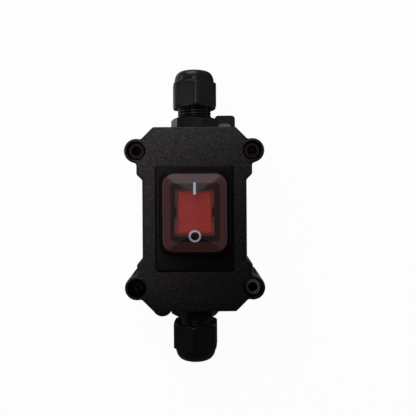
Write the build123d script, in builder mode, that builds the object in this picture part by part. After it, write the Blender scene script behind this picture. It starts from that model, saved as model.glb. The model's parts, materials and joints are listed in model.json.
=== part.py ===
"""Weatherproof switch box: two-part enclosure, capped lamp rocker switch and two cable glands.

Millimetres. The box lies on its back: the back face is z = 0 and its centre is the origin. +Z points out of the
front, +Y along the glands towards the I side of the switch, +X to the right as seen from the front.
"""
import os
from math import cos, radians, sin

from build123d import *

os.makedirs("parts", exist_ok=True)

# Enclosure outline, shared by base and cover
box_length = 97.2
waist_width = 55.0
step_reach = 3.0
corner_chamfer = 8.8
ear_reach = 3.05
ear_inset = 12.5
ear_shoulder = 12.4
ear_wall = 1.4
outline_fillet = 1.6

# Enclosure depths and walls
joint_gap = 0.3
cover_height = 10.0
wall = 4.0
floor_thickness = 2.2
front_thickness = 3.0
rim_land = 3.05
cavity_corner = 3.5
back_fillet = 1.5
front_fillet = 1.0
parting_chamfer = 0.4

# Raised pad that carries the switch
pad_side_margin = 2.2
pad_end_margin = 6.5
pad_height = 1.8
pad_offset_y = 0.6
pad_corner = 2.2
pad_fillet = 1.2
pad_wall = 2.7

# Cover gasket in its groove
groove_width = 2.0
groove_depth = 1.8
groove_inset = 1.0
gasket_side_gap = 0.15

# Cover screws and their inserts
screw_radius = 2.5
screw_length = 14.0
screw_head_rim = 2.0
screw_head_height = 5.0
screw_head_chamfer = 0.4
screw_socket_flats = 4.5
screw_socket_depth = 2.6
screw_hole_gap = 0.25
screw_seat_thickness = 2.5
screw_end_gap = 1.5
counterbore_gap = 0.5
insert_wall = 0.92
insert_length = 10.0
insert_thread_gap = 0.08
insert_groove_depth = 0.4
insert_groove_width = 1.2

# Fixing lugs behind two opposite corners
lug_inset = 1.8
lug_reach = 5.7
lug_thickness = 4.0
lug_hole_radius = 2.4
lug_wall = 3.5
slot_length = 8.0
slot_lug_inset = 3.7
slot_lug_reach = 4.2
slot_lug_wall = 2.05
slot_lug_end_wall = 4.0
slot_lug_corner = 2.2

# Switch place, flange and boot seat
switch_y = 3.4
switch_gasket_thickness = 0.8
switch_gasket_margin = 1.0
flange_width = 37.0
flange_length = 43.0
flange_corner = 6.2
flange_floor = 1.8
flange_rim_height = 3.9
flange_side_rim = 2.0
flange_end_rim = 1.3
flange_fillet = 1.0
boot_seat_gap = 0.2

# Rocker button
rocker_width = 20.8
rocker_length = 25.0
rocker_corner = 1.2
rocker_rise = 6.0
rocker_tilt = 7.0
pivot_drop = 1.2
button_thickness = 1.3
button_fillet = 0.5
window_side_frame = 2.0
window_end_frame = 1.65
window_recess = 0.15
lens_rib_pitch = 1.0
lens_rib_width = 0.5
lens_rib_depth = 0.5
notch_length = 4.8
notch_depth = 1.3

# Raised ring round the rocker, and the well inside it
ring_wall = 1.9
ring_corner = 1.8
ring_fillet = 0.5
ring_margin = 0.12
well_side_gap = 0.3
well_end_gap = 0.8
well_floor_gap = 0.14

# Switch body behind the panel
body_side_margin = 0.4
body_end_margin = 1.7
body_wall = 1.2
body_floor = 1.5
panel_gap = 0.2
hook_width = 8.0
hook_reach = 1.1
hook_length = 6.5
hook_gap = 0.1

# Rocker carrier
carrier_side_gap = 0.3
carrier_end_inset = 1.55
carrier_wall = 1.3
carrier_skirt = 1.6
trunnion_radius = 1.5
trunnion_gap = 0.05
trunnion_end_gap = 0.2
cross_bar_length = 7.0
cross_bar_drop = 2.4
cross_bar_rise = 0.9
lamp_slot_gap = 0.8

# Plungers, springs and contacts, one set for each pole
pole_x = 4.9
tube_wall = 0.95
tube_drop = 6.0
plunger_radius = 1.45
plunger_side_gap = 0.2
plunger_reach = 10.85
plunger_length = 7.2
spring_wire_radius = 0.25
spring_side_gap = 0.2
spring_turns = 3
contact_length = 15.0
contact_width = 4.0
contact_thickness = 0.8
contact_tilt = 5.0
contact_gap = 0.05
plunger_clearance = 0.1
rivet_radius = 1.5
rivet_height = 0.5
rivet_y = 6.5

# Terminal blades
blade_width = 6.3
blade_thickness = 0.8
blade_tip = 9.5
blade_tip_chamfer = 1.2
blade_hole_radius = 0.8
blade_slot_gap = 0.05
line_blade_y = 9.0
shelf_width = 4.4
shelf_lift = 1.8

# Pilot lamp and resistor
lamp_radius = 1.8
lamp_length = 10.0
lamp_top_drop = 0.1
lead_radius = 0.25
lead_spacing = 1.8
lead_gap = 0.05
resistor_radius = 1.15
resistor_length = 6.3
resistor_y = 7.5
resistor_lift = 1.0

# Clear boot
boot_corner = 5.8
boot_skin = 0.4
boot_roof_rise = 2.6
boot_hip_length = 10.3
boot_ridge_width = 0.6
boot_roof_gap = 0.4
boot_ring_gap = 0.4

# Cable glands, measured outwards from the end wall
thread_radius = 10.0
thread_gap = 0.15
hex_wall = 1.85
hex_chamfer = 1.2
hex_height = 6.0
washer_thickness = 1.4
washer_margin = 0.1
neck_length = 10.0
neck_step = 0.5
neck_thread_depth = 0.5
tail_margin = 1.5
lock_nut_thickness = 5.0
lock_nut_floor_gap = 0.3
claw_step = 0.6
claw_wall = 1.5
claw_length = 8.0
claw_count = 10
claw_slot = 1.2
seal_gap = 0.1
seal_depth = 4.0
seal_lip_step = 0.2
seal_lip_length = 1.2
seal_lead_in = 0.8
cable_radius = 4.5

# Dome nuts, each screwed on by its own amount
nut_gap_upper = 5.4
nut_gap_lower = 3.7
nut_length = 21.0
nut_hex_length = 13.5
nut_end_chamfer = 1.8
nut_shoulder = 2.4
nut_dome_step = 0.6
nut_tip_land = 0.8
nut_mouth_gap = 2.0
nut_mouth_fillet = 0.6
nut_thread_length = 8.5
nut_claw_gap = 0.9
nut_cone_start = 13.0
nut_cone_length = 6.0

# Turn of each hexagon: its nearest corner, in degrees from the front
body_corner_upper = 17.0
body_corner_lower = 20.0
nut_corner_upper = 6.0
nut_corner_lower = 5.0

# Outline sizes that follow
end_y = box_length / 2
step_width = waist_width + 2 * step_reach
end_width = step_width - 2 * corner_chamfer
ear_x = waist_width / 2 + ear_reach
ear_y = end_y - ear_inset
screw_head_radius = screw_radius + screw_head_rim
counterbore_radius = screw_head_radius + counterbore_gap
ear_radius = counterbore_radius + ear_wall
insert_bore_radius = screw_radius + insert_thread_gap
insert_radius = insert_bore_radius + insert_wall
lug_x = end_width / 2 - lug_inset
lug_hole_y = end_y + lug_reach
lug_end_radius = lug_hole_radius + lug_wall
slot_lug_x = end_width / 2 - slot_lug_inset
slot_y = end_y + slot_lug_reach
slot_lug_width = slot_length + 2 * slot_lug_wall
slot_lug_end = slot_y + lug_hole_radius + slot_lug_end_wall
lug_root = end_y - corner_chamfer
pad_width = flange_width + 2 * pad_side_margin
pad_length = flange_length + 2 * pad_end_margin
ear_places = [(side * ear_x, end * ear_y) for side in (-1, 1) for end in (-1, 1)]

# Gland sizes that follow
bore_radius = thread_radius + thread_gap
hex_flats = 2 * (bore_radius + hex_wall)
hex_radius = hex_flats / 2 / cos(radians(30))
neck_thread_radius = thread_radius - neck_step
neck_radius = neck_thread_radius - neck_thread_depth
nut_bore_radius = neck_thread_radius + thread_gap
claw_radius = neck_radius - claw_step
gland_bore_radius = claw_radius - claw_wall
seal_radius = gland_bore_radius - seal_gap
seal_lip_radius = claw_radius - seal_lip_step
nut_cavity_radius = claw_radius + nut_claw_gap
nut_mouth_radius = cable_radius + nut_mouth_gap
nut_tip_radius = nut_mouth_radius + nut_tip_land
nut_dome_radius = hex_flats / 2 - nut_dome_step
tail_length = wall + lock_nut_thickness + tail_margin
gland_z = floor_thickness + lock_nut_floor_gap + hex_flats / 2

# Levels of the enclosure and of the switch flange
base_height = gland_z + bore_radius + rim_land
cover_z = base_height + joint_gap
front_z = cover_z + cover_height
pad_z = front_z + pad_height
panel_back_z = pad_z - front_thickness
screw_seat_z = cover_z + screw_seat_thickness
screw_end_z = screw_seat_z - screw_length
flange_z = pad_z + switch_gasket_thickness
seat_z = flange_z + flange_floor
pivot_z = pad_z - pivot_drop

# Rocker, ring and boot sizes that follow
tilt_sin = sin(radians(rocker_tilt))
tilt_cos = cos(radians(rocker_tilt))
carrier_top = rocker_rise - button_thickness
window_width = rocker_width - 2 * window_side_frame
window_length = rocker_length - 2 * window_end_frame
well_width = rocker_width + 2 * well_side_gap
well_length = rocker_length + 2 * well_end_gap
ring_width = well_width + 2 * ring_wall
ring_length = well_length + 2 * ring_wall
ledge_z = pivot_z + carrier_top * tilt_cos - rocker_length / 2 * tilt_sin - well_floor_gap
ring_z = pivot_z + rocker_rise * tilt_cos + rocker_length / 2 * tilt_sin + ring_margin
boot_width = flange_width - 2 * (flange_side_rim + boot_seat_gap)
boot_length = flange_length - 2 * (flange_end_rim + boot_seat_gap)
boot_ridge_length = boot_length - 2 * boot_hip_length
ceiling_z = ring_z + boot_roof_gap
eave_z = ceiling_z + boot_skin

# Switch body sizes that follow
body_width = rocker_width + 2 * body_side_margin
body_length = rocker_length + 2 * body_end_margin
body_inner_width = body_width - 2 * body_wall
body_inner_length = body_length - 2 * body_wall
carrier_width = body_inner_width - 2 * carrier_side_gap
carrier_length = rocker_length - 2 * carrier_end_inset
lamp_slot_width = 2 * (lamp_radius + lamp_slot_gap)
tube_bore_radius = plunger_radius + plunger_side_gap
tube_radius = tube_bore_radius + tube_wall
spring_space = plunger_reach - plunger_length
pole_places = [(-pole_x, 0), (pole_x, 0)]

# Contact levels, down from the rocker's pivot to the bottom of the switch body
contact_sin = sin(radians(contact_tilt))
contact_cos = cos(radians(contact_tilt))
contact_pivot_z = pivot_z - plunger_reach - plunger_clearance - contact_thickness - contact_gap
rivet_drop = (rivet_y + rivet_radius) * contact_sin + rivet_height * contact_cos
shelf_z = contact_pivot_z - rivet_drop - rivet_height
body_bottom_z = shelf_z - blade_thickness - shelf_lift - body_floor
blade_z = body_bottom_z - blade_tip

# Plane of the rocker, at rest with its +Y end pressed in
rocker_plane = Plane(
    origin=(0, switch_y, pivot_z),
    x_dir=(1, 0, 0),
    z_dir=(0, tilt_sin, tilt_cos),
)

# Plane of the contact plates, at rest with their -Y end down on the fixed contacts
contact_plane = Plane(
    origin=(0, switch_y, contact_pivot_z),
    x_dir=(1, 0, 0),
    z_dir=(0, -contact_sin, contact_cos),
)

# Front outline: waisted octagon with a round ear on each corner
with BuildSketch() as box_outline:
    shoulder_y = ear_y - ear_shoulder
    with BuildLine():
        Polyline(
            (0, end_y),
            (end_width / 2, end_y),
            (step_width / 2, end_y - corner_chamfer),
            (step_width / 2, shoulder_y),
            (waist_width / 2, shoulder_y - step_reach),
            (waist_width / 2, 0),
            (0, 0),
            close=True,
        )
    make_face()
    mirror(about=Plane.YZ)
    mirror(about=Plane.XZ)
    with Locations(*ear_places):
        Circle(ear_radius)
    fillet(box_outline.vertices().filter_by(lambda v: abs(v.X) > waist_width / 4), outline_fillet)

# Wiring cavity outline, the same in base and cover
with BuildSketch() as cavity_outline:
    Rectangle(waist_width - 2 * wall, box_length - 2 * wall)
    chamfer(cavity_outline.vertices(), cavity_corner)

# Base shell with ear columns, gland walls, gasket groove and fixing lugs
with BuildPart() as base:
    with BuildSketch():
        add(box_outline.sketch)
    extrude(amount=base_height)
    fillet(base.faces().sort_by(Axis.Z)[0].edges(), back_fillet)
    chamfer(base.faces().sort_by(Axis.Z)[-1].edges(), parting_chamfer)
    with BuildSketch():
        with Locations((slot_lug_x, (slot_lug_end + lug_root) / 2)):
            RectangleRounded(slot_lug_width, slot_lug_end - lug_root, slot_lug_corner)
        with Locations((-lug_x, -lug_hole_y)):
            Circle(lug_end_radius)
        with Locations((-lug_x, -(lug_hole_y + lug_root) / 2)):
            Rectangle(2 * lug_end_radius, lug_hole_y - lug_root)
    extrude(amount=lug_thickness)
    with BuildSketch(Plane.XY.offset(floor_thickness)):
        add(cavity_outline.sketch)
    extrude(amount=base_height, mode=Mode.SUBTRACT)
    with BuildSketch(Plane.XY.offset(base_height - groove_depth)):
        offset(cavity_outline.sketch, amount=groove_inset + groove_width, kind=Kind.INTERSECTION)
        offset(cavity_outline.sketch, amount=groove_inset, kind=Kind.INTERSECTION, mode=Mode.SUBTRACT)
    extrude(amount=groove_depth, mode=Mode.SUBTRACT)
    with Locations(*[(x, y, base_height) for x, y in ear_places]):
        Hole(insert_radius, depth=insert_length)
        Hole(screw_radius + screw_hole_gap, depth=base_height - screw_end_z + screw_end_gap)
    with BuildSketch():
        with Locations((slot_lug_x, slot_y)):
            SlotOverall(slot_length, 2 * lug_hole_radius)
        with Locations((-lug_x, -lug_hole_y)):
            Circle(lug_hole_radius)
    extrude(amount=lug_thickness, mode=Mode.SUBTRACT)
    with BuildSketch(Plane.XZ.offset(-box_length)):
        with Locations((0, gland_z)):
            Circle(bore_radius)
    extrude(amount=2 * box_length, mode=Mode.SUBTRACT)
base.part.label = "base"
export_step(base.part, "parts/base.step")

# Cover shell with counterbored ears, raised pad and switch cut-out
with BuildPart() as cover:
    with BuildSketch(Plane.XY.offset(cover_z)):
        add(box_outline.sketch)
    extrude(amount=cover_height)
    fillet(cover.faces().sort_by(Axis.Z)[-1].edges(), front_fillet)
    chamfer(cover.faces().sort_by(Axis.Z)[0].edges(), parting_chamfer)
    with BuildSketch(Plane.XY.offset(front_z - front_thickness)):
        with Locations((0, pad_offset_y)):
            RectangleRounded(pad_width, pad_length, pad_corner)
    extrude(amount=front_thickness + pad_height)
    fillet(cover.faces().sort_by(Axis.Z)[-1].edges(), pad_fillet)
    with BuildSketch(Plane.XY.offset(cover_z)):
        add(cavity_outline.sketch)
    extrude(amount=cover_height - front_thickness, mode=Mode.SUBTRACT)
    with BuildSketch(Plane.XY.offset(cover_z)):
        with Locations((0, pad_offset_y)):
            RectangleRounded(pad_width - 2 * pad_wall, pad_length - 2 * pad_wall, pad_corner)
    extrude(amount=panel_back_z - cover_z, mode=Mode.SUBTRACT)
    with BuildSketch(Plane.XY.offset(cover_z)):
        with Locations((0, switch_y)):
            Rectangle(body_width + 2 * panel_gap, body_length + 2 * panel_gap)
    extrude(amount=pad_z - cover_z, mode=Mode.SUBTRACT)
    with Locations(*[(x, y, front_z) for x, y in ear_places]):
        CounterBoreHole(screw_radius + screw_hole_gap, counterbore_radius, front_z - screw_seat_z)
cover.part.label = "cover"
export_step(cover.part, "parts/cover.step")

# Cover gasket, pressed between the groove floor and the cover
with BuildPart() as cover_gasket:
    with BuildSketch(Plane.XY.offset(base_height - groove_depth)):
        gasket_outer = groove_inset + groove_width - gasket_side_gap
        offset(cavity_outline.sketch, amount=gasket_outer, kind=Kind.INTERSECTION)
        gasket_inner = groove_inset + gasket_side_gap
        offset(cavity_outline.sketch, amount=gasket_inner, kind=Kind.INTERSECTION, mode=Mode.SUBTRACT)
    extrude(amount=groove_depth + joint_gap)
cover_gasket.part.label = "cover_gasket"
export_step(cover_gasket.part, "parts/cover_gasket.step")

# Four socket head screws, one in each ear
with BuildPart() as cover_screws:
    with BuildSketch(Plane.XY.offset(screw_seat_z)):
        with Locations(*ear_places):
            Circle(screw_head_radius)
    extrude(amount=screw_head_height)
    chamfer(cover_screws.faces().group_by(Axis.Z)[-1].edges(), screw_head_chamfer)
    with BuildSketch(Plane.XY.offset(screw_seat_z)):
        with Locations(*ear_places):
            Circle(screw_radius)
    extrude(amount=-screw_length)
    with BuildSketch(Plane.XY.offset(screw_seat_z + screw_head_height)):
        with Locations(*ear_places):
            RegularPolygon(screw_socket_flats / 2, 6, major_radius=False)
    extrude(amount=-screw_socket_depth, mode=Mode.SUBTRACT)
cover_screws.part.label = "cover_screws"
export_step(cover_screws.part, "parts/cover_screws.step")

# Four brass inserts, flush with the base rim, with a waist groove each
with BuildPart() as screw_inserts:
    with BuildSketch(Plane.XY.offset(base_height)):
        with Locations(*ear_places):
            Circle(insert_radius)
            Circle(insert_bore_radius, mode=Mode.SUBTRACT)
    extrude(amount=-insert_length)
    with BuildSketch(Plane.XY.offset(base_height - (insert_length + insert_groove_width) / 2)):
        with Locations(*ear_places):
            Circle(insert_radius)
            Circle(insert_radius - insert_groove_depth, mode=Mode.SUBTRACT)
    extrude(amount=insert_groove_width, mode=Mode.SUBTRACT)
screw_inserts.part.label = "screw_inserts"
export_step(screw_inserts.part, "parts/screw_inserts.step")

# Flat seal between the pad and the switch flange
with BuildPart() as switch_gasket:
    with BuildSketch(Plane.XY.offset(pad_z)):
        with Locations((0, switch_y)):
            RectangleRounded(
                flange_width - 2 * switch_gasket_margin,
                flange_length - 2 * switch_gasket_margin,
                flange_corner - switch_gasket_margin,
            )
            Rectangle(body_width + 2 * panel_gap, body_length + 2 * panel_gap, mode=Mode.SUBTRACT)
    extrude(amount=switch_gasket_thickness)
switch_gasket.part.label = "switch_gasket"
export_step(switch_gasket.part, "parts/switch_gasket.step")

# Switch housing: flange with boot seat, raised ring, body with snap hooks, pivots and terminal slots
with BuildPart() as switch_housing:
    with BuildSketch(Plane.XY.offset(flange_z)):
        with Locations((0, switch_y)):
            RectangleRounded(flange_width, flange_length, flange_corner)
    extrude(amount=flange_rim_height)
    fillet(switch_housing.faces().sort_by(Axis.Z)[-1].edges(), flange_fillet)
    with BuildSketch(Plane.XY.offset(seat_z)):
        with Locations((0, switch_y)):
            RectangleRounded(
                boot_width + 2 * boot_seat_gap,
                boot_length + 2 * boot_seat_gap,
                boot_corner + boot_seat_gap,
            )
    extrude(amount=flange_rim_height, mode=Mode.SUBTRACT)
    with BuildSketch(Plane.XY.offset(flange_z)):
        with Locations((0, switch_y)):
            RectangleRounded(ring_width, ring_length, ring_corner)
    extrude(amount=ring_z - flange_z)
    fillet(switch_housing.faces().sort_by(Axis.Z)[-1].edges(), ring_fillet)
    with BuildSketch(Plane.XY.offset(body_bottom_z)):
        with Locations((0, switch_y)):
            Rectangle(body_width, body_length)
    extrude(amount=flange_z - body_bottom_z)
    with BuildSketch(Plane.YZ.offset(-hook_width / 2)):
        hook_top = panel_back_z - hook_gap
        with BuildLine():
            Polyline(
                (switch_y + body_length / 2, hook_top),
                (switch_y + body_length / 2 + panel_gap + hook_reach, hook_top),
                (switch_y + body_length / 2, hook_top - hook_length),
                close=True,
            )
        make_face()
        mirror(about=Plane.YZ.offset(switch_y))
    extrude(amount=hook_width)
    with BuildSketch(Plane.XY.offset(ledge_z)):
        with Locations((0, switch_y)):
            Rectangle(well_width, well_length)
    extrude(amount=ring_z - ledge_z, mode=Mode.SUBTRACT)
    with BuildSketch(Plane.XY.offset(body_bottom_z + body_floor)):
        with Locations((0, switch_y)):
            Rectangle(body_inner_width, body_inner_length)
    extrude(amount=ledge_z - body_bottom_z - body_floor, mode=Mode.SUBTRACT)
    with BuildSketch(Plane.YZ.offset(-body_width)):
        with Locations((switch_y, pivot_z)):
            Circle(trunnion_radius + trunnion_gap)
    extrude(amount=2 * body_width, mode=Mode.SUBTRACT)
    with BuildSketch(Plane.XY.offset(body_bottom_z)):
        with Locations(*[(s * pole_x, switch_y + y) for s in (-1, 1) for y in (0, -line_blade_y)]):
            Rectangle(blade_width + 2 * blade_slot_gap, blade_thickness + 2 * blade_slot_gap)
        with Locations(*[(0, switch_y + y + s * lead_spacing / 2) for y in (0, resistor_y) for s in (-1, 1)]):
            Circle(lead_radius + lead_gap)
    extrude(amount=body_floor, mode=Mode.SUBTRACT)
switch_housing.part.label = "switch_housing"
export_step(switch_housing.part, "parts/switch_housing.step")

# Clear boot: hipped roof over straight sides, with a flat-topped hollow for ring and rocker
with BuildPart() as boot:
    with BuildSketch(Plane.XY.offset(seat_z)):
        with Locations((0, switch_y)):
            Rectangle(boot_width, boot_length)
    extrude(amount=eave_z - seat_z)
    with BuildSketch(Plane.XY.offset(eave_z)):
        with Locations((0, switch_y)):
            Rectangle(boot_width, boot_length)
    with BuildSketch(Plane.XY.offset(eave_z + boot_roof_rise)):
        with Locations((0, switch_y)):
            Rectangle(boot_ridge_width, boot_ridge_length)
    loft(ruled=True)
    with BuildSketch(Plane.XY.offset(seat_z)):
        with Locations((0, switch_y)):
            RectangleRounded(boot_width, boot_length, boot_corner)
    extrude(amount=eave_z + boot_roof_rise - seat_z, mode=Mode.INTERSECT)
    with BuildSketch(Plane.XY.offset(seat_z)):
        with Locations((0, switch_y)):
            RectangleRounded(
                ring_width + 2 * boot_ring_gap,
                ring_length + 2 * boot_ring_gap,
                ring_corner + boot_ring_gap,
            )
    extrude(amount=ceiling_z - seat_z, mode=Mode.SUBTRACT)
boot.part.label = "boot"
export_step(boot.part, "parts/boot.step")

# Red rocker button: plate with a ribbed window and a notch at each pivot
with BuildPart() as rocker_button:
    with BuildSketch(rocker_plane.offset(carrier_top)):
        RectangleRounded(rocker_width, rocker_length, rocker_corner)
        with Locations((-rocker_width / 2, 0), (rocker_width / 2, 0)):
            Rectangle(2 * notch_depth, notch_length, mode=Mode.SUBTRACT)
    extrude(amount=button_thickness)
    rocker_axis = Axis(rocker_plane.origin, rocker_plane.z_dir)
    fillet(rocker_button.faces().sort_by(rocker_axis)[-1].edges(), button_fillet)
    with BuildSketch(rocker_plane.offset(rocker_rise - window_recess)):
        Rectangle(window_width, window_length)
    extrude(amount=window_recess, mode=Mode.SUBTRACT)
    rib_count = int(window_length / lens_rib_pitch) - 2
    with BuildSketch(rocker_plane.offset(carrier_top)):
        with GridLocations(lens_rib_pitch, lens_rib_pitch, 1, rib_count):
            Rectangle(window_width - 2 * carrier_wall, lens_rib_width)
    extrude(amount=-lens_rib_depth)
rocker_button.part.label = "rocker_button"
export_step(rocker_button.part, "parts/rocker_button.step")

# Rocker carrier: open frame, cross bars at the pivot, trunnions and plunger tubes
with BuildPart() as rocker_carrier:
    with BuildSketch(rocker_plane.offset(-carrier_skirt)):
        Rectangle(carrier_width, carrier_length)
        Rectangle(carrier_width - 2 * carrier_wall, carrier_length - 2 * carrier_wall, mode=Mode.SUBTRACT)
    extrude(amount=carrier_skirt + carrier_top)
    with BuildSketch(rocker_plane.offset(-cross_bar_drop)):
        Rectangle(carrier_width, cross_bar_length)
        Rectangle(lamp_slot_width, cross_bar_length, mode=Mode.SUBTRACT)
    extrude(amount=cross_bar_drop + cross_bar_rise)
    with BuildSketch(rocker_plane.offset(-tube_drop)):
        with Locations(*pole_places):
            Circle(tube_radius)
    extrude(amount=tube_drop)
    with BuildSketch(rocker_plane.offset(-tube_drop)):
        with Locations(*pole_places):
            Circle(tube_bore_radius)
    extrude(amount=tube_drop, mode=Mode.SUBTRACT)
    with BuildSketch(Plane.YZ.offset(-body_width / 2 + trunnion_end_gap)):
        with Locations((switch_y, pivot_z)):
            Circle(trunnion_radius)
    extrude(amount=body_wall + carrier_side_gap + carrier_wall - trunnion_end_gap)
    with BuildSketch(Plane.YZ.offset(body_width / 2 - trunnion_end_gap)):
        with Locations((switch_y, pivot_z)):
            Circle(trunnion_radius)
    extrude(amount=-(body_wall + carrier_side_gap + carrier_wall - trunnion_end_gap))
rocker_carrier.part.label = "rocker_carrier"
export_step(rocker_carrier.part, "parts/rocker_carrier.step")

# Plungers: round-tipped pins that slide in the carrier's tubes
with BuildPart() as plungers:
    with BuildSketch(rocker_plane.offset(plunger_radius - plunger_reach)):
        with Locations(*pole_places):
            Circle(plunger_radius)
    extrude(amount=plunger_length - plunger_radius)
    tip_centre = plunger_radius - plunger_reach
    with Locations(*[rocker_plane.from_local_coords(Vector(x, y, tip_centre)) for x, y in pole_places]):
        Sphere(plunger_radius)
plungers.part.label = "plungers"
export_step(plungers.part, "parts/plungers.step")

# Plunger springs, coiled between each plunger and the blind end of its tube
with BuildPart() as plunger_springs:
    spring_height = spring_space - 2 * spring_wire_radius
    for x, y in pole_places:
        with BuildLine() as coil:
            Helix(
                pitch=spring_height / spring_turns,
                height=spring_height,
                radius=tube_bore_radius - spring_side_gap - spring_wire_radius,
                center=rocker_plane.from_local_coords(Vector(x, y, spring_wire_radius - spring_space)),
                direction=rocker_plane.z_dir,
            )
        with BuildSketch(Plane(origin=coil.line @ 0, z_dir=coil.line % 0)):
            Circle(spring_wire_radius)
        sweep(path=coil.line)
plunger_springs.part.label = "plunger_springs"
export_step(plunger_springs.part, "parts/plunger_springs.step")

# Contact plates that rock on the common terminals, with a rivet at the closing end
with BuildPart() as contact_bridges:
    with BuildSketch(contact_plane.offset(contact_gap)):
        with Locations(*pole_places):
            RectangleRounded(contact_width, contact_length, contact_width / 4)
    extrude(amount=contact_thickness)
    with BuildSketch(contact_plane.offset(contact_gap)):
        with Locations(*[(x, -rivet_y) for x, y in pole_places]):
            Circle(rivet_radius)
    extrude(amount=-rivet_height)
contact_bridges.part.label = "contact_bridges"
export_step(contact_bridges.part, "parts/contact_bridges.step")

# Blade profile of every terminal, from its tip up to the body floor
with BuildSketch(Plane.XZ) as blade_profile:
    blade_length = blade_tip + body_floor
    with Locations((0, blade_length / 2)):
        Rectangle(blade_width, blade_length)
    chamfer(blade_profile.vertices().group_by(Axis.Z)[0], blade_tip_chamfer)
    with Locations((0, blade_width / 2)):
        Circle(blade_hole_radius, mode=Mode.SUBTRACT)

# Common terminals: blades whose upper ends carry the contact plates
with BuildPart() as common_terminals:
    with BuildSketch(Plane.XZ.offset(-switch_y - blade_thickness / 2)):
        for x, y in pole_places:
            with Locations((x, blade_z)):
                add(blade_profile.sketch_local)
            with Locations((x, (body_bottom_z + contact_pivot_z - contact_gap) / 2)):
                Rectangle(shelf_width, contact_pivot_z - contact_gap - body_bottom_z)
    extrude(amount=blade_thickness)
common_terminals.part.label = "common_terminals"
export_step(common_terminals.part, "parts/common_terminals.step")

# Line terminals: blades with a shelf under the closing end of each contact plate
line_y = switch_y - line_blade_y
with BuildPart() as line_terminals:
    with BuildSketch(Plane.XZ.offset(-line_y - blade_thickness / 2)):
        for x, y in pole_places:
            with Locations((x, blade_z)):
                add(blade_profile.sketch_local)
            with Locations((x, (body_bottom_z + shelf_z) / 2)):
                Rectangle(shelf_width, shelf_z - body_bottom_z)
    extrude(amount=blade_thickness)
    with BuildSketch(Plane.XY.offset(shelf_z)):
        shelf_length = line_blade_y - rivet_y + rivet_radius + blade_thickness / 2
        shelf_y = line_y + (shelf_length - blade_thickness) / 2
        with Locations(*[(x, shelf_y) for x, y in pole_places]):
            Rectangle(shelf_width, shelf_length)
    extrude(amount=-blade_thickness)
    with BuildSketch(Plane.XY.offset(shelf_z)):
        with Locations(*[(x, switch_y - rivet_y) for x, y in pole_places]):
            Circle(rivet_radius)
    extrude(amount=rivet_height)
line_terminals.part.label = "line_terminals"
export_step(line_terminals.part, "parts/line_terminals.step")

# Pilot lamp: round-topped tube on two leads
lamp_top_z = pivot_z - lamp_top_drop
with BuildPart() as lamp:
    with BuildSketch(Plane.XY.offset(lamp_top_z - lamp_length)):
        with Locations((0, switch_y)):
            Circle(lamp_radius)
    extrude(amount=lamp_length)
    fillet(lamp.faces().sort_by(Axis.Z)[-1].edges(), lamp_radius / 2)
    with BuildSketch(Plane.XY.offset(body_bottom_z)):
        with Locations(*[(0, switch_y + s * lead_spacing / 2) for s in (-1, 1)]):
            Circle(lead_radius)
    extrude(amount=lamp_top_z - lamp_length - body_bottom_z)
lamp.part.label = "lamp"
export_step(lamp.part, "parts/lamp.step")

# Series resistor: barrel standing on two leads
resistor_z = body_bottom_z + body_floor + resistor_lift
with BuildPart() as resistor:
    with BuildSketch(Plane.XY.offset(resistor_z)):
        with Locations((0, switch_y + resistor_y)):
            Circle(resistor_radius)
    extrude(amount=resistor_length)
    fillet(resistor.edges().filter_by(GeomType.CIRCLE), resistor_radius / 3)
    with BuildSketch(Plane.XY.offset(body_bottom_z)):
        with Locations(*[(0, switch_y + resistor_y + s * lead_spacing / 2) for s in (-1, 1)]):
            Circle(lead_radius)
    extrude(amount=body_floor + resistor_lift + resistor_radius)
resistor.part.label = "resistor"
export_step(resistor.part, "parts/resistor.step")

# Two cable glands: name, outward direction, turn of the body hexagon, nut gap and turn of the nut
glands = [
    ("upper", 1, body_corner_upper, nut_gap_upper, nut_corner_upper),
    ("lower", -1, body_corner_lower, nut_gap_lower, nut_corner_lower),
]
hex_start = washer_thickness
hex_end = hex_start + hex_height
neck_end = hex_end + neck_length
claw_end = neck_end + claw_length

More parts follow.
